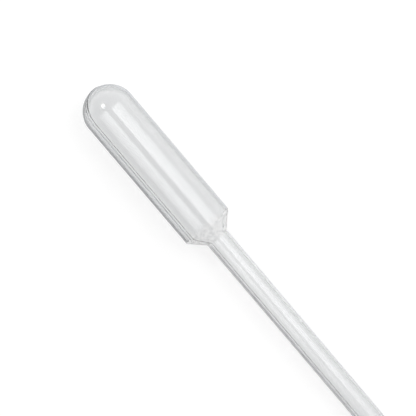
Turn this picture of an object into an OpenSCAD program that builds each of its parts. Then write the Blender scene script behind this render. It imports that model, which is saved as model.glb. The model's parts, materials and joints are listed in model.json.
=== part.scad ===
// Dropper pipette, blow moulded in one piece: a squeeze bulb with a domed end, a
// conical shoulder, a straight stem and a drawn drop tip, hollow from end to end.
// It lies on its side, on the shoulder's rim and the rim of the tip, with the bulb
// towards -X. The origin is on the surface it lies on, under the middle of its length.

/* [Bulb] */
// Outer diameter of the squeeze bulb
bulb_d = 12; // [9:0.1:16]
// Length of the bulb, from the pole of the dome to the corner of the shoulder
bulb_len = 39; // [25:0.5:60]
// Wall thickness along the side of the bulb
bulb_wall = 0.45; // [0.3:0.05:0.9]
// Wall thickness at the pole of the dome, where the mould pinched the tube shut
dome_wall = 0.6; // [0.3:0.05:1.2]

/* [Shoulder] */
// Angle between the shoulder cone and the axis
shoulder_angle = 45; // [30:1:60]
// Wall thickness of the shoulder cone
shoulder_wall = 0.5; // [0.3:0.05:0.9]
// Radius of the rounded corner between the bulb and the shoulder
shoulder_round = 0.6; // [0.2:0.1:1.5]
// Radius of the hollow corner between the shoulder and the stem
neck_round = 0.4; // [0.2:0.1:1.2]

/* [Stem] */
// Outer diameter of the straight stem
stem_d = 5.4; // [4:0.1:7]
// Length of the straight stem, from the shoulder to the start of the taper
stem_len = 52.7; // [20:0.1:90]
// Wall thickness of the stem
stem_wall = 0.55; // [0.3:0.05:0.9]

/* [Drop tip] */
// Length over which the stem is drawn down to the tip
taper_len = 42; // [20:1:70]
// Length of the tip below the taper
tip_len = 13; // [6:0.5:30]
// Outer diameter at the top of the tip
tip_root_d = 3.2; // [2.4:0.1:4]
// Outer diameter at the cut end of the tip
tip_d = 2.9; // [2.2:0.1:3.8]
// Diameter of the bore through the tip
tip_bore_d = 1.6; // [0.8:0.1:1.8]

/* [Parting line] */
// Width of the raised line that the two halves of the mould leave
flash_w = 0.85; // [0.3:0.05:1.2]
// Height of that line above the wall
flash_h = 0.16; // [0.05:0.01:0.25]
// Turn of the parting plane about the pipette's axis, from upright
flash_turn = 47; // [0:1:90]
// Length of the pinch-off ridge across the dome
pinch_len = 7; // [3:0.5:8]
// Width of the pinch-off ridge
pinch_w = 0.6; // [0.3:0.05:1]
// Height of the pinch-off ridge above the pole of the dome
pinch_h = 0.22; // [0.1:0.02:0.5]

/* [Hidden] */
$fn = 96;
clear_plastic = [0.87, 0.90, 0.91, 0.6];
arc_step = 5; // degrees of turn from one point of an arc to the next
taper_steps = 16; // points along the drawn taper
sharp = 0.01; // the least radius that a corner is rounded to
overshoot = 1; // how far the cut of the bore runs past the end of the tip

bulb_r = bulb_d / 2;
stem_r = stem_d / 2;
tip_root_r = tip_root_d / 2;
tip_r = tip_d / 2;
bore_r = tip_bore_d / 2;

taper_at = shoulder_at(stem_r, 0) + stem_len;
tip_at = taper_at + taper_len;
length = tip_at + tip_len;

// Distance from the dome's pole at which a surface depth below the shoulder has radius r
function shoulder_at(r, depth) =
    bulb_len + (bulb_r - r) / tan(shoulder_angle) - depth / sin(shoulder_angle);

// Points of an arc about a centre, from one direction to another
function arc(centre, r, from, to) =
    let (steps = ceil(abs(to - from) / arc_step))
    [for (k = [0 : steps])
        let (angle = from + (to - from) * k / steps)
        centre + r * [cos(angle), sin(angle)]];

// One side of the pipette's section as [radius, distance from the pole], at a depth
// below the outer surface that each stretch has for itself; a negative depth is above it
function outline(dome, bulb, shoulder, stem, root, tip, end) =
    let (
        half = shoulder_angle / 2,
        dome_r = bulb_r - bulb,
        corner_r = max(shoulder_round - shoulder, sharp),
        neck_r = max(neck_round + shoulder, sharp),
        corner = [bulb_r - bulb, shoulder_at(bulb_r - bulb, shoulder)],
        neck = [stem_r - stem, shoulder_at(stem_r - stem, shoulder)]
    )
    concat(
        arc([0, dome + dome_r], dome_r, -90, 0),
        arc(corner - corner_r * [1, tan(half)], corner_r, 0, shoulder_angle),
        arc(neck + neck_r * [1, tan(half)], neck_r, 180 + shoulder_angle, 180),
        [for (k = [0 : taper_steps])
            let (along = k / taper_steps, ease = (1 - cos(180 * along)) / 2)
            [neck.x + (tip_root_r - root - neck.x) * ease, taper_at + taper_len * along]],
        [[tip_r - tip, end]]
    );

outer = outline(0, 0, 0, 0, 0, 0, length);
inner = outline(dome_wall, bulb_wall, shoulder_wall, stem_wall,
    tip_root_r - bore_r, tip_r - bore_r, length + overshoot);
flash = outline(-flash_h, -flash_h, -flash_h, -flash_h, -flash_h, -flash_h, length);

// The pinch-off ridge is a lens on the dome: it stands pinch_h high at the pole and
// runs out into the dome at both ends
pinch_half = pinch_len / 2;
pinch_rise = bulb_r - sqrt(bulb_r * bulb_r - pinch_half * pinch_half) + pinch_h;
pinch_r = (pinch_half * pinch_half + pinch_rise * pinch_rise) / (2 * pinch_rise);

// The lowest line of the pipette runs from the rim of the tip to the rounded corner of
// the shoulder, so the axis leans down towards the tip by this angle
rest_centre = [bulb_r - shoulder_round, bulb_len - shoulder_round * tan(shoulder_angle / 2)];
tip_rim = [tip_r, length];
lean = atan((rest_centre.x - tip_rim.x) / (tip_rim.y - rest_centre.y))
    + asin(shoulder_round / norm(tip_rim - rest_centre));
pole_height = rest_centre.y * sin(lean) + rest_centre.x * cos(lean) + shoulder_round;
dome_reach = (pinch_r - pinch_h) * cos(lean) - pinch_r;
tip_reach = length * cos(lean) + tip_r * sin(lean);

// The solid of revolution that one side of a section makes about the pipette's axis
module revolved(side) {
    rotate_extrude()
        polygon(concat(side, [[0, side[len(side) - 1].y]]));
}

// A plate in the parting plane, with the outline of the raised line on both sides
module flash_plate() {
    other_side = [for (i = [len(flash) - 1 : -1 : 1]) [-flash[i].x, flash[i].y]];
    rotate([90, 0, 0])
        linear_extrude(flash_w, center = true)
            polygon(concat(flash, other_side));
}

module pinch_off() {
    translate([0, 0, pinch_r - pinch_h])
        rotate([90, 0, 0])
            cylinder(r = pinch_r, h = pinch_w, center = true);
}

module upright_pipette() {
    difference() {
        union() {
            revolved(outer);
            flash_plate();
            pinch_off();
        }
        revolved(inner);
    }
}

module pipette() {
    color(clear_plastic)
        translate([-(dome_reach + tip_reach) / 2, 0, pole_height])
            rotate([0, 90 + lean, 0])
                rotate([0, 0, flash_turn])
                    upright_pipette();
}

pipette();
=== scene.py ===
"""Looks of a blow-moulded dropper pipette lying on a white table.

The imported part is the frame. One finely spun piece stands for its only node: a thin
hollow wall with a domed bulb, a conical shoulder, a stem drawn down to a drop tip, the
raised parting line of the two mould halves and the pinch-off ridge over the dome.
"""

import json
import logging
import math
from dataclasses import dataclass
from enum import Enum, IntEnum

import bmesh
import bpy
from mathutils import Matrix, Vector, noise


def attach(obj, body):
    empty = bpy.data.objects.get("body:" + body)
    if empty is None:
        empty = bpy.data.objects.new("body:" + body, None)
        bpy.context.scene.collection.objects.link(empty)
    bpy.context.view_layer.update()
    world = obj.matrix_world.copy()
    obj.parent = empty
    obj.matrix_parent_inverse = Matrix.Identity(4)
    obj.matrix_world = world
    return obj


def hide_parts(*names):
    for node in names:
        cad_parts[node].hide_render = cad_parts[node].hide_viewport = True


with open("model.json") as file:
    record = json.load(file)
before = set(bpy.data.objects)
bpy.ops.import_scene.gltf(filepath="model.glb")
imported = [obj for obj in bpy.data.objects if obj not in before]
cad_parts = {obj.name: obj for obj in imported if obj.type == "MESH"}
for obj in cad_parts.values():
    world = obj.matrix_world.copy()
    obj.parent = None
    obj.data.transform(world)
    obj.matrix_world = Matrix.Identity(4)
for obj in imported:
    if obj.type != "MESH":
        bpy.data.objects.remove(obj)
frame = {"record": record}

LOG = logging.getLogger("pipette")
MM = 0.001
NODE = "pipette"
BODY = "root"
BULB_MOUNT = "bulb"
BULB_MOUNT_AT = 22.4 * MM  # from the dome's pole to the middle of the bulb's mount
SAME_POINT = 1e-7  # metres; points closer together than this are one
CUT_SLACK = 2e-6  # metres; points this close to a cut are taken as on it

Socket = bpy.types.NodeSocket
Colour = tuple[float, float, float]


@dataclass(frozen=True)
class Axis:
    """The pipette's own axis as it lies on the table.

    Args:
        pole: The point of the axis at the end of the dome.
        along: Unit vector from the dome towards the tip.
    """

    pole: Vector
    along: Vector

    @classmethod
    def of_record(cls, record: dict, mount: str, reach: float) -> "Axis":
        """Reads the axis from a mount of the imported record.

        Args:
            record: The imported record.
            mount: Name of a mount on the axis that points away from the tip.
            reach: Distance from the dome's pole to the mount's middle.

        Returns:
            The axis of the lying pipette.
        """
        found = next(m for m in record["mounts"] if m["name"] == mount)
        along = -Vector(found["axis"]).normalized()
        return cls(Vector(found["pos_m"]) - along * reach, along)

    @property
    def lean(self) -> float:
        """Angle by which the axis leans down towards the tip, in radians."""
        return math.atan2(-self.along.z, self.along.x)

    def point(self, distance: float, aside: float = 0.0) -> Vector:
        """A point at a distance from the pole along the axis, moved aside along Y."""
        return self.pole + self.along * distance + Vector((0.0, aside, 0.0))

    def laying(self, turn: float) -> Matrix:
        """How the upright pipette is laid on the table.

        Args:
            turn: Turn about its own axis first, in radians.

        Returns:
            The matrix from the upright pipette, pole down at the origin, to the lying one.
        """
        tipped = Matrix.Rotation(math.radians(90) + self.lean, 4, "Y")
        return Matrix.Translation(self.pole) @ tipped @ Matrix.Rotation(turn, 4, "Z")


class NodeBoard:
    """The nodes of one material, lamp or world, and the wires between them."""

    def __init__(self, tree: bpy.types.NodeTree, keep: bool = False) -> None:
        """Takes over a node tree.

        Args:
            tree: The tree.
            keep: True to keep the nodes that it already has.
        """
        self.tree = tree
        if not keep:
            tree.nodes.clear()

    def add(self, kind: str) -> bpy.types.Node:
        """Adds a node, named by its kind without the leading "ShaderNode"."""
        return self.tree.nodes.new("ShaderNode" + kind)

    def feed(self, socket: Socket, value: Socket | float | Colour) -> None:
        """Sets a socket to a value, or wires another one to it.

        Args:
            socket: The input.
            value: An output to wire to it, a number, or a colour.
        """
        if isinstance(value, Socket):
            self.tree.links.new(value, socket)
        elif isinstance(value, tuple):
            socket.default_value = (*value, 1.0)
        else:
            socket.default_value = value

    def ramp(
        self,
        value: Socket,
        start: float,
        end: float,
        low: float = 0.0,
        high: float = 1.0,
        curve: str = "LINEAR",
    ) -> Socket:
        """Turns one range of a value into another.

        Args:
            value: The value.
            start: Where the ramp starts.
            end: Where it ends.
            low: What it gives at the start and before.
            high: What it gives at the end and beyond.
            curve: How it runs in between.

        Returns:
            The result.
        """
        node = self.add("MapRange")
        node.interpolation_type = curve
        self.feed(node.inputs["Value"], value)
        names = ("From Min", "From Max", "To Min", "To Max")
        for name, number in zip(names, (start, end, low, high)):
            self.feed(node.inputs[name], number)
        return node.outputs["Result"]

    def mix(self, share: Socket, a: Socket | float, b: Socket | float) -> Socket:
        """Mixes two numbers.

        Args:
            share: The share of b.
            a: The number where the share is 0.
            b: The number where it is 1.

        Returns:
            The mixed number.
        """
        node = self.add("Mix")
        for name, value in (("Factor", share), ("A", a), ("B", b)):
            self.feed(node.inputs[name], value)
        return node.outputs["Result"]

    def blend(self, share: Socket, a: Socket | Colour, b: Socket | Colour) -> Socket:
        """Mixes two colours.

        Args:
            share: The share of b.
            a: The colour where the share is 0.
            b: The colour where it is 1.

        Returns:
            The mixed colour.
        """
        node = self.add("Mix")
        node.data_type = "RGBA"
        for name, value in (("Factor", share), ("A", a), ("B", b)):
            self.feed(node.inputs[name], value)
        return node.outputs["Result"]

    def math(self, operation: str, *values: Socket | float) -> Socket:
        """Works out one step of arithmetic.

        Args:
            operation: The step, in capitals.
            values: The one or two values that it works on.

        Returns:
            The result.
        """
        node = self.add("Math")
        node.operation = operation
        for socket, value in zip(node.inputs, values):
            self.feed(socket, value)
        return node.outputs["Value"]

    def noise(self, where: Socket, scale: float, detail: float) -> Socket:
        """Makes a cloudy pattern.

        Args:
            where: The coordinates that it is laid out on.
            scale: Its fineness, in waves per unit.
            detail: How many finer layers it has.

        Returns:
            Its strength, from 0 to 1.
        """
        node = self.add("TexNoise")
        self.feed(node.inputs["Vector"], where)
        self.feed(node.inputs["Scale"], scale)
        self.feed(node.inputs["Detail"], detail)
        return node.outputs["Fac"]

    def stretch(self, where: Socket, scale: tuple[float, float, float]) -> Socket:
        """Scales coordinates.

        Args:
            where: The coordinates.
            scale: The factor for each axis.

        Returns:
            The scaled coordinates.
        """
        node = self.add("Mapping")
        self.feed(node.inputs["Vector"], where)
        node.inputs["Scale"].default_value = scale
        return node.outputs["Vector"]

    def bump(self, height: Socket, strength: float, distance: float) -> Socket:
        """Turns a height into a normal.

        Args:
            height: The height, from 0 to 1.
            strength: How much of the bump is used.
            distance: How far a height of 1 stands off.

        Returns:
            The normal.
        """
        node = self.add("Bump")
        self.feed(node.inputs["Height"], height)
        self.feed(node.inputs["Strength"], strength)
        self.feed(node.inputs["Distance"], distance)
        return node.outputs["Normal"]

    def seen(self) -> Socket:
        """Tells the rays that show a surface from those that only light things with it.

        Returns:
            1 for a ray from the camera, a reflection or a view through plastic, or else 0.
        """
        path = self.add("LightPath").outputs
        either = path["Is Camera Ray"]
        for ray in ("Is Glossy Ray", "Is Transmission Ray"):
            either = self.math("MAXIMUM", either, path[ray])
        return either


class SectionLine:
    """One side of the wall's section, drawn as a chain of edges in the XZ plane.

    X is the radius and Z the distance from the dome's pole.
    """

    def __init__(self, mesh: bmesh.types.BMesh, radius: float, distance: float) -> None:
        """Starts the chain.

        Args:
            mesh: The mesh that takes the chain.
            radius: Radius of the first point.
            distance: Distance of the first point from the pole.
        """
        self.mesh = mesh
        self.end = mesh.verts.new((radius, 0.0, distance))
        self.verts = [self.end]

    def line(self, radius: float, distance: float, steps: int) -> list[bmesh.types.BMVert]:
        """Draws a straight stretch in equal steps.

        Args:
            radius: Radius at its far end.
            distance: Distance from the pole at its far end.
            steps: Number of edges.

        Returns:
            The new points, in order.
        """
        step = (Vector((radius, 0.0, distance)) - self.end.co) / steps
        drawn = []
        for _ in range(steps):
            new = bmesh.ops.extrude_vert_indiv(self.mesh, verts=[self.end])["verts"]
            bmesh.ops.translate(self.mesh, verts=new, vec=step)
            self.end = new[0]
            drawn.append(self.end)
        self.verts += drawn
        return drawn

    def arc(self, radius: float, distance: float, turn: float, steps: int) -> None:
        """Draws an arc in equal steps.

        Args:
            radius: Radius at which the arc's centre lies.
            distance: Distance of the arc's centre from the pole.
            turn: Turn of the arc about +Y, in degrees.
            steps: Number of edges.
        """
        centre = Vector((radius, 0.0, distance))
        turning = Matrix.Rotation(math.radians(turn) / steps, 3, "Y")
        for _ in range(steps):
            new = bmesh.ops.extrude_vert_indiv(self.mesh, verts=[self.end])["verts"]
            bmesh.ops.rotate(self.mesh, verts=new, cent=centre, matrix=turning)
            self.end = new[0]
            self.verts.append(self.end)

    def drawn_line(self, radius: float, distance: float, steps: int) -> None:
        """Draws the slow S of a tube that was drawn thinner.

        Args:
            radius: Radius at its far end.
            distance: Distance from the pole at its far end.
            steps: Number of edges.
        """
        start = self.end.co.x
        for k, point in enumerate(self.line(radius, distance, steps), 1):
            ease = (1 - math.cos(math.pi * k / steps)) / 2
            point.co.x = start + (radius - start) * ease

    def spin(self, steps: int) -> None:
        """Turns the chain all round the axis and merges its pole into one point.

        Args:
            steps: Number of faces round the axis.
        """
        chain = set(self.verts)
        edges = [e for e in self.mesh.edges if set(e.verts) <= chain]
        before = set(self.mesh.verts) - chain
        bmesh.ops.spin(
            self.mesh,
            geom=self.verts + edges,
            cent=(0.0, 0.0, 0.0),
            axis=(0.0, 0.0, 1.0),
            angle=math.tau,
            steps=steps,
            use_merge=True,
        )
        made = [v for v in self.mesh.verts if v not in before]
        bmesh.ops.remove_doubles(self.mesh, verts=made, dist=SAME_POINT)


@dataclass(frozen=True)
class PartingLine:
    """The raised line and the pinch-off ridge that the two halves of the mould leave.

    A shallow groove runs along one side of the line.

    Args:
        turn: Turn of the parting plane about the axis, from upright, in degrees.
        height: Height of the line above the wall.
        groove: Depth of the groove below the wall.
        edges: Distances from the parting plane, from the groove's side on, at which the
            groove starts, is deepest, and the line is full, ends being full, and ends.
        fade: Distance over which the line runs out before the cut end of the tip.
        pinch_half: Half the length of the pinch-off ridge across the dome.
        pinch_height: Height of the ridge above the pole of the dome.
        shoulder: Distances from the pole between which the line crosses the shoulder.
        shoulder_height: Height of the line there.
        shoulder_fade: Distance over which it gets its full height again.
    """

    turn: float = 47.0
    height: float = 0.15 * MM
    groove: float = 0.04 * MM
    edges: tuple[float, ...] = (-0.62 * MM, -0.50 * MM, -0.05 * MM, 0.40 * MM, 0.46 * MM)
    fade: float = 1.2 * MM
    pinch_half: float = 3.5 * MM
    pinch_height: float = 0.07 * MM
    shoulder: tuple[float, float] = (39.4 * MM, 42.6 * MM)
    shoulder_height: float = 0.07 * MM
    shoulder_fade: float = 0.8 * MM

    def cuts(self) -> list[float]:
        """Offsets from the parting plane at which the wall is cut to carry the line."""
        middles = [(a + b) / 2 for a, b in zip(self.edges, self.edges[1:])]
        return sorted([*self.edges, *middles])

    def profile(self, off: float, height: float) -> float:
        """Height of the line's cross-section.

        Args:
            off: Distance from the parting plane.
            height: Height of the line's crown here.

        Returns:
            The height above the plain wall, which is below 0 in the groove.
        """
        depth = -self.groove * height / self.height
        levels = (0.0, depth, height, height, 0.0)
        for k in range(len(self.edges) - 1):
            start, end = self.edges[k], self.edges[k + 1]
            if start <= off <= end:
                share = (off - start) / (end - start)
                return levels[k] + (levels[k + 1] - levels[k]) * share
        return 0.0

    def rise(self, place: Vector, dome_r: float, length: float) -> float:
        """Height of the line above one point of the wall.

        Args:
            place: The point on the upright pipette; the parting plane is Y = 0.
            dome_r: Radius of the dome.
            length: Length of the pipette.

        Returns:
            The height by which that point stands above the plain wall.
        """
        start, end = self.shoulder
        away = max(start - place.z, place.z - end, 0.0) / self.shoulder_fade
        low = math.exp(-away * away)
        height = self.height + (self.shoulder_height - self.height) * low
        height *= min(1.0, (length - place.z) / self.fade)
        if place.z < dome_r:
            lens = max(0.0, 1 - (place.x / self.pinch_half) ** 2)
            height += (self.pinch_height - self.height) * lens
        return self.profile(place.y, height)


@dataclass(frozen=True)
class Unevenness:
    """How far the blown wall strays from its even thickness.

    The inside has faint lengthwise lines. The outside follows the mould and only sinks a
    little.

    Args:
        line_depth: Most that a lengthwise line stands in or out at the radius line_radius.
            The lines are deeper where the wall is narrower.
        line_radius: That radius.
        line_least: Radius below which they get no deeper.
        line_count: Lines round the wall, roughly.
        line_reach: Distance over which a line wanders off.
        swell: Most that the wall swells or thins in broad patches.
        patch: Size of such a patch.
        sink: Most that the outside sinks in.
        ripple: Most that the inside ripples round the shoulder.
        ripple_out: The same for the outside.
        ripple_size: Size of a ripple.
        ripple_at: Distance of their middle from the pole.
        ripple_reach: Distance over which they fade out to both sides.
        pucker: Most that either side puckers in small folds round the neck.
        pucker_size: Size of a small fold.
        pucker_at: Distance of their middle from the pole.
        pucker_reach: Distance over which they fade out to both sides.
    """

    line_depth: float = 0.012 * MM
    line_radius: float = 6.0 * MM
    line_least: float = 2.0 * MM
    line_count: float = 26.0
    line_reach: float = 60 * MM
    swell: float = 0.03 * MM
    patch: float = 14 * MM
    sink: float = 0.01 * MM
    ripple: float = 0.03 * MM
    ripple_out: float = 0.012 * MM
    ripple_size: float = 1.1 * MM
    ripple_at: float = 40.8 * MM
    ripple_reach: float = 3.2 * MM
    pucker: float = 0.01 * MM
    pucker_size: float = 0.55 * MM
    pucker_at: float = 41.3 * MM
    pucker_reach: float = 1.7 * MM

    def rippled(self, place: Vector) -> float:
        """How strongly the shoulder's ripples lift a place, from -1 to 1."""
        away = (place.z - self.ripple_at) / self.ripple_reach
        return math.exp(-away * away) * noise.noise(place / self.ripple_size)

    def puckered(self, place: Vector) -> float:
        """How strongly the neck's small folds lift a place, from -1 to 1."""
        away = (place.z - self.pucker_at) / self.pucker_reach
        return math.exp(-away * away) * noise.noise(place / self.pucker_size)

    def inside(self, place: Vector) -> float:
        """Works out the step of the inner surface.

        Args:
            place: The place on the upright pipette.

        Returns:
            The step outwards, in metres.
        """
        across = Vector((place.x, place.y, 0.0))
        away = across.normalized() * self.line_count / math.tau
        line = noise.noise(Vector((away.x, away.y, place.z / self.line_reach)))
        line *= self.line_radius / max(across.length, self.line_least)
        patch = noise.noise(place / self.patch + Vector((3.0, 7.0, 1.0)))
        folds = self.ripple * self.rippled(place) + self.pucker * self.puckered(place)
        return self.line_depth * line + self.swell * patch + folds

    def outside(self, place: Vector) -> float:
        """Works out the step of the outer surface, which is never outwards.

        Args:
            place: The place on the upright pipette.

        Returns:
            The step outwards, in metres, which is 0 or less.
        """
        sunk = self.sink * (0.5 + 0.5 * noise.noise(place / self.patch))
        folds = self.ripple_out * (0.5 + 0.5 * self.rippled(place))
        return -sunk - folds - self.pucker * (0.5 - 0.5 * self.puckered(place))


@dataclass(frozen=True)
class ClearPlastic:
    """Thin, slightly milky low-density polyethylene.

    Args:
        name: Name of the material.
        tint: Colour of the light that a wall lets through.
        edge_haze_and_shade: Edge-on colour: haze over the longer way, and painted shade on
            the outline.
        clear: Share of the light that goes through instead of being scattered.
        edge_clear: The same where the wall starts to be seen edge on.
        rim_clear: The same right at the edge, where light takes the longest way through.
        edge: Where seeing the wall edge on starts and is complete, from 0, face on, to 1.
        rim: The same for its last, milkiest part.
        shoulder: Where along X the shoulder lies, which is clearer but mottled.
        shoulder_fade: Distance over which it changes to the rest.
        shoulder_share: Share of the edge's cloudiness and painted shade that the shoulder
            has.
        mottle_dark: Colour of the light that the shoulder's denser spots let through.
        mottle_light: The same for its clearer spots.
        mottle_size: Size of the spots.
        mottle_span: Strengths of the pattern between which dark goes over to light.
        ior: Index of refraction.
        rough: Roughness of the smoothest and of the dullest streaks.
        streaks: Fineness of the streaks along each axis, in waves per metre.
        streak_span: Strengths of the pattern between which smooth goes over to dull.
        grain: Size of the fine moulding grain.
        grain_height: Height of the grain.
        grain_share: How much of that height is used.
    """

    name: str = "clear_plastic"
    tint: Colour = (0.935, 0.94, 0.944)
    # Partly painted shade: the darker colour given to walls seen edge on.
    edge_haze_and_shade: Colour = (0.50, 0.52, 0.54)
    clear: float = 0.965
    edge_clear: float = 0.8
    rim_clear: float = 0.05
    edge: tuple[float, float] = (0.5, 0.68)
    rim: tuple[float, float] = (0.58, 0.66)
    shoulder: tuple[float, float] = (-36.0 * MM, -32.5 * MM)
    shoulder_fade: float = 0.5 * MM
    shoulder_share: float = 0.1
    mottle_dark: Colour = (0.85, 0.855, 0.86)
    mottle_light: Colour = (1.0, 1.0, 1.0)
    mottle_size: float = 0.75 * MM
    mottle_span: tuple[float, float] = (0.36, 0.54)
    ior: float = 1.51
    rough: tuple[float, float] = (0.14, 0.18)
    streaks: tuple[float, float, float] = (120.0, 900.0, 900.0)
    streak_span: tuple[float, float] = (0.3, 0.7)
    grain: float = 0.9 * MM
    grain_height: float = 0.02 * MM
    grain_share: float = 0.1

    def build(self) -> bpy.types.Material:
        """Makes the material.

        Returns:
            Clear plastic, milkier and with painted shade darker edge on, with faint streaks
            and grain.
        """
        made = bpy.data.materials.new(self.name)
        made.use_nodes = True
        board = NodeBoard(made.node_tree)
        shader = board.add("BsdfPrincipled")
        board.feed(board.add("OutputMaterial").inputs["Surface"], shader.outputs["BSDF"])
        place = board.add("TexCoord").outputs["Object"]
        beyond = self.beyond_shoulder(board, place)
        edge, rim = self.edge_on(board, beyond)

        spots = board.ramp(board.noise(place, 1 / self.mottle_size, 2.0), *self.mottle_span)
        mottled = board.blend(spots, self.mottle_dark, self.mottle_light)
        tint = board.blend(beyond, mottled, self.tint)
        # Painted shade: walls seen edge on take the darker edge colour, beyond the haze of
        # the longer way through.
        board.feed(shader.inputs["Base Color"], board.blend(edge, tint, self.edge_haze_and_shade))
        milky = board.mix(edge, self.clear, self.edge_clear)
        clear = board.mix(rim, milky, self.rim_clear)
        board.feed(shader.inputs["Transmission Weight"], clear)
        board.feed(shader.inputs["IOR"], self.ior)

        streaks = board.noise(board.stretch(place, self.streaks), 1.0, 3.0)
        rough = board.ramp(streaks, *self.streak_span, *self.rough)
        board.feed(shader.inputs["Roughness"], rough)
        grain = board.noise(place, 1 / self.grain, 2.0)
        normal = board.bump(grain, self.grain_share, self.grain_height)
        board.feed(shader.inputs["Normal"], normal)
        return made

    def beyond_shoulder(self, board: NodeBoard, place: Socket) -> Socket:
        """Tells the shoulder from the rest.

        Args:
            board: The material's nodes.
            place: The Object coordinates.

        Returns:
            0 on the shoulder and 1 elsewhere.
        """
        parts = board.add("SeparateXYZ")
        board.feed(parts.inputs["Vector"], place)
        start, end = self.shoulder
        along = board.math("SUBTRACT", parts.outputs["X"], (start + end) / 2)
        apart = board.math("ABSOLUTE", along)
        half = (end - start) / 2
        return board.ramp(apart, half, half + self.shoulder_fade)

    def edge_on(self, board: NodeBoard, beyond: Socket) -> list[Socket]:
        """Tells how far the wall is seen edge on: there it is milkier and painted shade
        darkens it.

        Args:
            board: The material's nodes.
            beyond: 0 on the shoulder and 1 elsewhere.

        Returns:
            How far that holds for its edge and for its rim, from 0 to 1.
        """
        facing = board.add("LayerWeight")
        board.feed(facing.inputs["Blend"], 0.5)
        share = board.mix(beyond, self.shoulder_share, 1.0)
        return [
            board.math("MULTIPLY", board.ramp(facing.outputs["Facing"], *span), share)
            for span in (self.edge, self.rim)
        ]


@dataclass(frozen=True)
class CutPlastic:
    """The same plastic where a blade cut the tip: matt and whiter.

    Args:
        name: Name of the material.
        colour: Its colour.
        clear: Share of the light that goes through.
        rough: Roughness.
        score: Distance between the fine lines that the blade left.
        score_run: Fineness of the lines along their run, in waves per metre.
        score_depth: Depth of those lines.
        score_share: How much of that depth is used.
    """

    name: str = "cut_plastic"
    colour: Colour = (0.86, 0.88, 0.885)
    clear: float = 0.3
    rough: float = 0.45
    score: float = 0.12 * MM
    score_run: float = 100.0
    score_depth: float = 0.02 * MM
    score_share: float = 0.3

    def build(self) -> bpy.types.Material:
        """Makes the material.

        Returns:
            A matt material with fine parallel lines.
        """
        made = bpy.data.materials.new(self.name)
        made.use_nodes = True
        board = NodeBoard(made.node_tree)
        shader = board.add("BsdfPrincipled")
        board.feed(board.add("OutputMaterial").inputs["Surface"], shader.outputs["BSDF"])
        board.feed(shader.inputs["Base Color"], self.colour)
        board.feed(shader.inputs["Transmission Weight"], self.clear)
        board.feed(shader.inputs["Roughness"], self.rough)
        place = board.add("TexCoord").outputs["Object"]
        scale = (self.score_run, self.score_run, 1 / self.score)
        lines = board.noise(board.stretch(place, scale), 1.0, 2.0)
        normal = board.bump(lines, self.score_share, self.score_depth)
        board.feed(shader.inputs["Normal"], normal)
        return made


class Finish(IntEnum):
    """Which finish a face of the wall has, in the order of its material slots."""

    OUTSIDE = 0
    INSIDE = 1
    CUT = 2


@dataclass(frozen=True)
class Steps:
    """Number of edges along each stretch of the wall's section.

    Args:
        outer_dome: Along the dome's outside.
        inner_dome: Along its inside.
        bulb: Along the bulb, as far as the short edges beside its corner.
        beside: Along the short edges beside a corner.
        corner: Round a corner.
        cone: Along the shoulder cone.
        stem: Along the stem, from the short edges beside its corner.
        taper: Along the drawn taper.
        tip: Along the tip.
        rim: Round the rim of the cut end.
        around: Round the axis.
    """

    outer_dome: int = 36
    inner_dome: int = 30
    bulb: int = 17
    beside: int = 9
    corner: int = 6
    cone: int = 22
    stem: int = 18
    taper: int = 28
    tip: int = 6
    rim: int = 3
    around: int = 200


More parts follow.
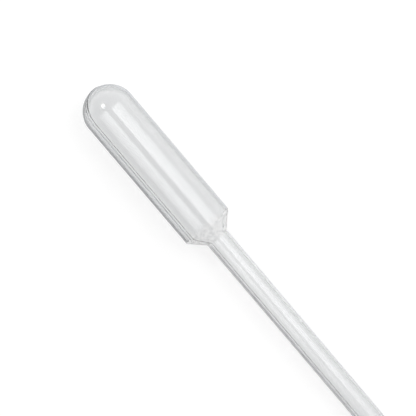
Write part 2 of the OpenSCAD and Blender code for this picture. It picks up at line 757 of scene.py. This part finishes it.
@dataclass(frozen=True)
class Pipette:
    """The whole dropper: one hollow blow-moulded wall.

    Radii and lengths are in metres, and distances run from the dome's pole.

    Args:
        bulb_r: Outer radius of the bulb.
        bulb_len: Length of the bulb.
        bulb_wall: Wall of the bulb.
        dome_wall: Wall at the dome's pole.
        shoulder_wall: Wall of the shoulder.
        shoulder_round: Radius of the corner between the bulb and the shoulder.
        neck_round: Radius of the corner between the shoulder and the stem.
        stem_r: Outer radius of the stem.
        stem_len: Length of the straight stem.
        stem_wall: Wall of the stem.
        taper_len: Length of the drawn taper.
        tip_len: Length of the tip.
        tip_root_r: Outer radius at the top of the tip.
        tip_r: Outer radius at the cut end.
        bore_r: Radius of the bore.
        rim_round: Radius of the rounded rim of the cut end.
        rim_slack: How far before the rounded rim a face already counts as cut.
        beside: Length of the stretch beside a corner that has short edges.
        even_before_tip: Distance before the tip over which the inside becomes even.
        even_within: Radius within which it becomes even.
        steps: Number of edges along each stretch.
        parting: The parting line.
        unevenness: How the wall strays from its even thickness.
        plastic: Finish of the outside.
        inside: Finish of the inside.
        cut: Finish of the cut end.
    """

    bulb_r: float = 6.0 * MM
    bulb_len: float = 39.0 * MM
    bulb_wall: float = 0.45 * MM
    dome_wall: float = 0.6 * MM
    shoulder_wall: float = 0.5 * MM
    shoulder_round: float = 0.6 * MM
    neck_round: float = 0.4 * MM
    stem_r: float = 2.7 * MM
    stem_len: float = 52.7 * MM
    stem_wall: float = 0.55 * MM
    taper_len: float = 42.0 * MM
    tip_len: float = 13.0 * MM
    tip_root_r: float = 1.6 * MM
    tip_r: float = 1.45 * MM
    bore_r: float = 0.8 * MM
    rim_round: float = 0.12 * MM
    rim_slack: float = 0.01 * MM
    beside: float = 4.0 * MM
    even_before_tip: float = 10.0 * MM
    even_within: float = 3.0 * MM
    steps: Steps = Steps()
    parting: PartingLine = PartingLine()
    unevenness: Unevenness = Unevenness()
    plastic: ClearPlastic = ClearPlastic()
    inside: ClearPlastic = ClearPlastic(
        name="clear_plastic_inside",
        edge_clear=0.7,
        rim_clear=0.7,
        edge=(0.45, 0.85),
    )
    cut: CutPlastic = CutPlastic()

    @property
    def taper_at(self) -> float:
        """Distance at which the stem starts to narrow."""
        return self.bulb_len + self.bulb_r - self.stem_r + self.stem_len

    @property
    def tip_at(self) -> float:
        """Distance at which the tip starts."""
        return self.taper_at + self.taper_len

    @property
    def length(self) -> float:
        """Length of the pipette."""
        return self.tip_at + self.tip_len

    def shoulder_at(self, radius: float, depth: float) -> float:
        """Where the 45 degree shoulder has a radius.

        Args:
            radius: The radius.
            depth: Depth of the surface below the outside of the shoulder.

        Returns:
            Its distance from the pole.
        """
        return self.bulb_len + self.bulb_r - radius - depth * math.sqrt(2)

    def side(self, line: SectionLine, bulb: float, shoulder: float, stem: float) -> None:
        """Draws the side of the bulb, the shoulder and the straight stem.

        Args:
            line: The chain, which has reached the end of the dome.
            bulb: Depth of the surface below the outside along the bulb.
            shoulder: Depth along the shoulder.
            stem: Depth along the stem.
        """
        half = math.tan(math.radians(22.5))
        corner_r = self.shoulder_round + shoulder
        neck_r = self.neck_round + shoulder
        corner = self.shoulder_at(self.bulb_r - bulb, shoulder) - corner_r * half
        neck = self.shoulder_at(self.stem_r - stem, shoulder) + neck_r * half
        reach = neck_r / math.sqrt(2)
        steps = self.steps
        line.line(self.bulb_r - bulb, corner - self.beside, steps.bulb)
        line.line(self.bulb_r - bulb, corner, steps.beside)
        line.arc(self.bulb_r - bulb - corner_r, corner, -45.0, steps.corner)
        line.line(self.stem_r - stem + neck_r - reach, neck - reach, steps.cone)
        line.arc(self.stem_r - stem + neck_r, neck, 45.0, steps.corner)
        line.line(self.stem_r - stem, neck + self.beside, steps.beside)
        line.line(self.stem_r - stem, self.taper_at, steps.stem)

    def outer_wall(self, mesh: bmesh.types.BMesh) -> None:
        """Spins the outside of the wall and raises the parting line on it.

        Args:
            mesh: The mesh that takes it.
        """
        line = SectionLine(mesh, 0.0, 0.0)
        line.arc(0.0, self.bulb_r, -90.0, self.steps.outer_dome)
        self.side(line, 0.0, 0.0, 0.0)
        line.drawn_line(self.tip_root_r, self.tip_at, self.steps.taper)
        rim_at = self.length - self.rim_round
        line.line(self.tip_r, self.length - 2 * self.rim_round, self.steps.tip)
        line.line(self.tip_r, rim_at, 1)
        line.arc(self.tip_r - self.rim_round, rim_at, -90.0, self.steps.rim)
        line.spin(self.steps.around)
        for offset in self.parting.cuts():
            bmesh.ops.bisect_plane(
                mesh,
                geom=list(mesh.verts) + list(mesh.edges) + list(mesh.faces),
                dist=CUT_SLACK,
                plane_co=(0.0, offset, 0.0),
                plane_no=(0.0, 1.0, 0.0),
            )
        bmesh.ops.recalc_face_normals(mesh, faces=mesh.faces)
        mesh.normal_update()
        outwards = 1.0 if self.points_out(mesh) else -1.0
        moves = {v: self.outer_step(v.co) * outwards for v in mesh.verts}
        normals = {v: v.normal.copy() for v in mesh.verts}
        for v, move in moves.items():
            v.co += normals[v] * move
        LOG.info("outer wall: %d points", len(mesh.verts))

    def points_out(self, mesh: bmesh.types.BMesh) -> bool:
        """Tells which way the faces of the open outer wall point.

        Args:
            mesh: The mesh that holds it alone.

        Returns:
            True if they point away from the axis.
        """
        side = next(f for f in mesh.faces if abs(f.normal.z) < 0.1)
        centre = side.calc_center_median()
        return side.normal.x * centre.x + side.normal.y * centre.y > 0

    def outer_step(self, place: Vector) -> float:
        """How far the outside stands off its even shape at a place, in metres."""
        rise = self.parting.rise(place, self.bulb_r, self.length)
        return rise + self.unevenness.outside(place)

    def inner_wall(self, mesh: bmesh.types.BMesh) -> None:
        """Spins the inside of the wall and joins it to the outside at the tip.

        Args:
            mesh: The mesh that holds the outer wall.
        """
        dome_r = self.bulb_r - self.bulb_wall
        outside = set(mesh.verts)
        line = SectionLine(mesh, 0.0, self.dome_wall)
        line.arc(0.0, self.dome_wall + dome_r, -90.0, self.steps.inner_dome)
        self.side(line, self.bulb_wall, self.shoulder_wall, self.stem_wall)
        line.drawn_line(self.bore_r, self.tip_at, self.steps.taper)
        line.line(self.bore_r, self.length - self.rim_round, self.steps.tip)
        line.line(self.bore_r, self.length, 1)
        line.spin(self.steps.around)
        for face in mesh.faces:
            is_outside = outside.issuperset(face.verts)
            face.material_index = Finish.OUTSIDE if is_outside else Finish.INSIDE
        for v in mesh.verts:
            if v not in outside:
                v.co += self.inner_step(v.co)
        rims = [e for e in mesh.edges if e.is_boundary]
        bmesh.ops.bridge_loops(mesh, edges=rims)
        bmesh.ops.recalc_face_normals(mesh, faces=mesh.faces)

    def inner_step(self, place: Vector) -> Vector:
        """Works out how far the inside stands off its even shape.

        Args:
            place: The place on the upright pipette.

        Returns:
            The step, which fades out at the tip and near the axis.
        """
        away = Vector((place.x, place.y, 0.0))
        if away.length == 0:
            return away
        fade = min(1.0, max(0.0, (self.tip_at - place.z) / self.even_before_tip))
        near = min(1.0, away.length / self.even_within)
        return away.normalized() * self.unevenness.inside(place) * fade * near

    def build(self, axis: Axis) -> bpy.types.Object:
        """Builds the lying pipette and dresses it.

        Args:
            axis: Where its axis lies.

        Returns:
            The finished piece, riding on the part's only body.
        """
        mesh = bmesh.new()
        self.outer_wall(mesh)
        self.inner_wall(mesh)
        rim = self.length - self.rim_round - self.rim_slack
        for face in mesh.faces:
            face.smooth = True
            if all(v.co.z > rim for v in face.verts):
                face.material_index = Finish.CUT
        laying = axis.laying(math.radians(self.parting.turn))
        bmesh.ops.transform(mesh, matrix=laying, verts=mesh.verts)
        data = bpy.data.meshes.new("pipette_wall")
        mesh.to_mesh(data)
        mesh.free()
        piece = bpy.data.objects.new("pipette_wall", data)
        bpy.context.scene.collection.objects.link(piece)
        for finish in (self.plastic, self.inside, self.cut):
            data.materials.append(finish.build())
        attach(piece, BODY)
        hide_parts(NODE)
        return piece


@dataclass(frozen=True)
class Table:
    """The plain white table that the pipette lies on.

    Args:
        size: Length of its sides.
        albedo: Share of the light that it scatters back.
        glow: White that it adds where it is seen, so that it reads as paper white.
    """

    size: float = 6.0
    albedo: float = 0.25
    glow: float = 0.8

    def build(self) -> bpy.types.Object:
        """Makes the table.

        Returns:
            The table, which isn't part of the object.
        """
        mesh = bmesh.new()
        bmesh.ops.create_grid(mesh, x_segments=1, y_segments=1, size=self.size / 2)
        data = bpy.data.meshes.new("table")
        mesh.to_mesh(data)
        mesh.free()
        piece = bpy.data.objects.new("table", data)
        bpy.context.scene.collection.objects.link(piece)
        data.materials.append(self.paper())
        return piece

    def paper(self) -> bpy.types.Material:
        """Makes the white surface.

        Returns:
            A matt material with a little glow where it is seen directly or through plastic.
        """
        made = bpy.data.materials.new("white_table")
        made.use_nodes = True
        board = NodeBoard(made.node_tree)
        matt = board.add("BsdfDiffuse")
        board.feed(matt.inputs["Color"], (self.albedo, self.albedo, self.albedo))
        glow = board.add("Emission")
        strength = board.math("MULTIPLY", board.seen(), self.glow)
        board.feed(glow.inputs["Strength"], strength)
        both = board.add("AddShader")
        board.feed(both.inputs[0], matt.outputs["BSDF"])
        board.feed(both.inputs[1], glow.outputs["Emission"])
        board.feed(board.add("OutputMaterial").inputs["Surface"], both.outputs["Shader"])
        return made


class LampShape(Enum):
    """The shape of a lamp's face."""

    OBLONG = "RECTANGLE"
    ROUND = "ELLIPSE"

    @property
    def share(self) -> float:
        """Share of the oblong round it that the face fills."""
        return math.pi / 4 if self is LampShape.ROUND else 1.0


@dataclass(frozen=True)
class Softbox:
    """A soft lamp over the table, aimed at the pipette.

    Args:
        name: Name of the lamp.
        aside: Angle of its middle from straight up, towards +Y, in degrees.
        ahead: Angle of its middle from straight up, towards +X, in degrees.
        wide: Angle that it spans across the pipette, in degrees.
        long: Angle that it spans along the pipette, in degrees.
        glare: Brightness of its face on the -Y side; 1 is paper white.
        far_glare: Brightness of its face on the +Y side.
        shape: Shape of its face.
        distance: Distance of its middle from the pipette.
    """

    name: str
    aside: float
    ahead: float
    wide: float
    long: float
    glare: float
    far_glare: float
    shape: LampShape = LampShape.OBLONG
    distance: float = 1.5

    def build(self, aim: Vector) -> bpy.types.Object:
        """Hangs the lamp.

        Args:
            aim: The point that it faces.

        Returns:
            The lamp.
        """
        lamp = bpy.data.lights.new(self.name, "AREA")
        lamp.shape = self.shape.value
        lamp.size = 2 * self.distance * math.tan(math.radians(self.long / 2))
        lamp.size_y = 2 * self.distance * math.tan(math.radians(self.wide / 2))
        lamp.energy = math.pi * lamp.size * lamp.size_y * self.shape.share
        self.shade(lamp)
        made = bpy.data.objects.new(self.name, lamp)
        bpy.context.scene.collection.objects.link(made)
        across = Matrix.Rotation(-math.radians(self.aside), 4, "X")
        tilt = Matrix.Rotation(math.radians(self.ahead), 4, "Y") @ across
        away = Matrix.Translation((0.0, 0.0, self.distance))
        made.matrix_world = Matrix.Translation(aim) @ tilt @ away
        return made

    def shade(self, lamp: bpy.types.AreaLight) -> None:
        """Lets the lamp's face fade from one side to the other.

        Args:
            lamp: The lamp.
        """
        lamp.use_nodes = True
        board = NodeBoard(lamp.node_tree, keep=True)
        face = next(n for n in lamp.node_tree.nodes if n.type == "EMISSION")
        parts = board.add("SeparateXYZ")
        board.feed(parts.inputs["Vector"], board.add("NewGeometry").outputs["Parametric"])
        fade = board.ramp(parts.outputs["Y"], 0.0, 1.0, self.glare, self.far_glare)
        board.feed(face.inputs["Strength"], fade)


@dataclass(frozen=True)
class Studio:
    """The plain light round the table: two soft lamps, a small one, and a pale room.

    Args:
        key: The lamp on the +Y side.
        fill: The lamp on the -Y side.
        spark: The small lamp beyond the dome.
        ceiling: Brightness of the room overhead, where it is seen.
        horizon: Brightness of the room low down, where it is seen.
        rise: Heights between which it goes from the one to the other, from 0 to 1.
        dim_side: Light that the room gives from the -Y side.
        bright_side: Light that the room gives from the +Y side.
        half_turn: Distance from the middle within which the one goes over to the other, from
            0 to 1.
    """

    key: Softbox = Softbox("key_softbox", 35.0, 5.0, 46.0, 24.0, 3.2, 2.2)
    fill: Softbox = Softbox("fill_softbox", -32.0, 0.0, 44.0, 24.0, 0.4, 2.2)
    spark: Softbox = Softbox(
        "small_lamp", -7.0, -39.0, 18.0, 15.0, 10.0, 10.0, LampShape.ROUND
    )
    ceiling: float = 0.33
    horizon: float = 0.97
    rise: tuple[float, float] = (0.10, 0.35)
    dim_side: float = 0.0
    bright_side: float = 1.15
    half_turn: float = 0.6

    def build(self, aim: Vector) -> None:
        """Hangs the lamps and lights the room.

        Args:
            aim: The point that the lamps face.
        """
        for lamp in (self.key, self.fill, self.spark):
            lamp.build(aim)
        bpy.context.scene.world = self.room()
        bpy.context.scene.view_settings.view_transform = "Standard"

    def room(self) -> bpy.types.World:
        """Makes the room.

        Returns:
            A world that is white at the horizon and greyer overhead.
        """
        world = bpy.data.worlds.new("pale_room")
        world.use_nodes = True
        board = NodeBoard(world.node_tree)
        light = board.add("Background")
        board.feed(light.inputs["Color"], (1.0, 1.0, 1.0))
        parts = board.add("SeparateXYZ")
        board.feed(parts.inputs["Vector"], board.add("TexCoord").outputs["Generated"])
        up, aside = parts.outputs["Z"], parts.outputs["Y"]
        walls = board.ramp(up, *self.rise, self.horizon, self.ceiling, "SMOOTHSTEP")
        turn = (-self.half_turn, self.half_turn, self.dim_side, self.bright_side)
        side = board.ramp(aside, *turn, "SMOOTHSTEP")
        board.feed(light.inputs["Strength"], board.mix(board.seen(), side, walls))
        board.feed(board.add("OutputWorld").inputs["Surface"], light.outputs["Background"])
        return world


@dataclass(frozen=True)
class Camera:
    """The camera, which looks down on the bulb.

    Args:
        over: Distance from the dome's pole of the point that it looks at.
        aside: How far that point lies to the +Y side of the axis.
        back: Angle by which the camera stands back towards the dome, in degrees.
        roll: Angle by which the pipette runs down to the right in the picture, in degrees.
        distance: Distance of the camera.
        across: Width of the picture at that distance.
    """

    over: float = 36.0 * MM
    aside: float = 2.67 * MM
    back: float = 2.45
    roll: float = 49.7
    distance: float = 0.6
    across: float = 91.1 * MM

    def build(self, axis: Axis) -> bpy.types.Object:
        """Sets up the camera.

        Args:
            axis: The axis of the pipette.

        Returns:
            The scene's camera.
        """
        data = bpy.data.cameras.new("camera")
        data.sensor_width = 36.0
        data.lens = data.sensor_width * self.distance / self.across
        made = bpy.data.objects.new("camera", data)
        bpy.context.scene.collection.objects.link(made)
        tilt = Matrix.Rotation(-math.radians(self.back), 4, "Y")
        turn = Matrix.Rotation(math.radians(self.roll), 4, "Z")
        target = axis.point(self.over, self.aside)
        away = Matrix.Translation((0.0, 0.0, self.distance))
        made.matrix_world = Matrix.Translation(target) @ tilt @ turn @ away
        bpy.context.scene.camera = made
        return made


def main(record: dict) -> None:
    """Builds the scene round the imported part.

    Args:
        record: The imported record.
    """
    logging.basicConfig(level=logging.INFO, format="%(name)s: %(message)s")
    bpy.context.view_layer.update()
    axis = Axis.of_record(record, BULB_MOUNT, BULB_MOUNT_AT)
    pipette = Pipette()
    piece = pipette.build(axis)
    LOG.info("%s: %d faces", piece.name, len(piece.data.polygons))
    table = Table()
    LOG.info("%s: %g m a side", table.build().name, table.size)
    Studio().build(axis.point(pipette.bulb_len / 2))
    Camera().build(axis)


if __name__ == "__main__":
    main(frame["record"])
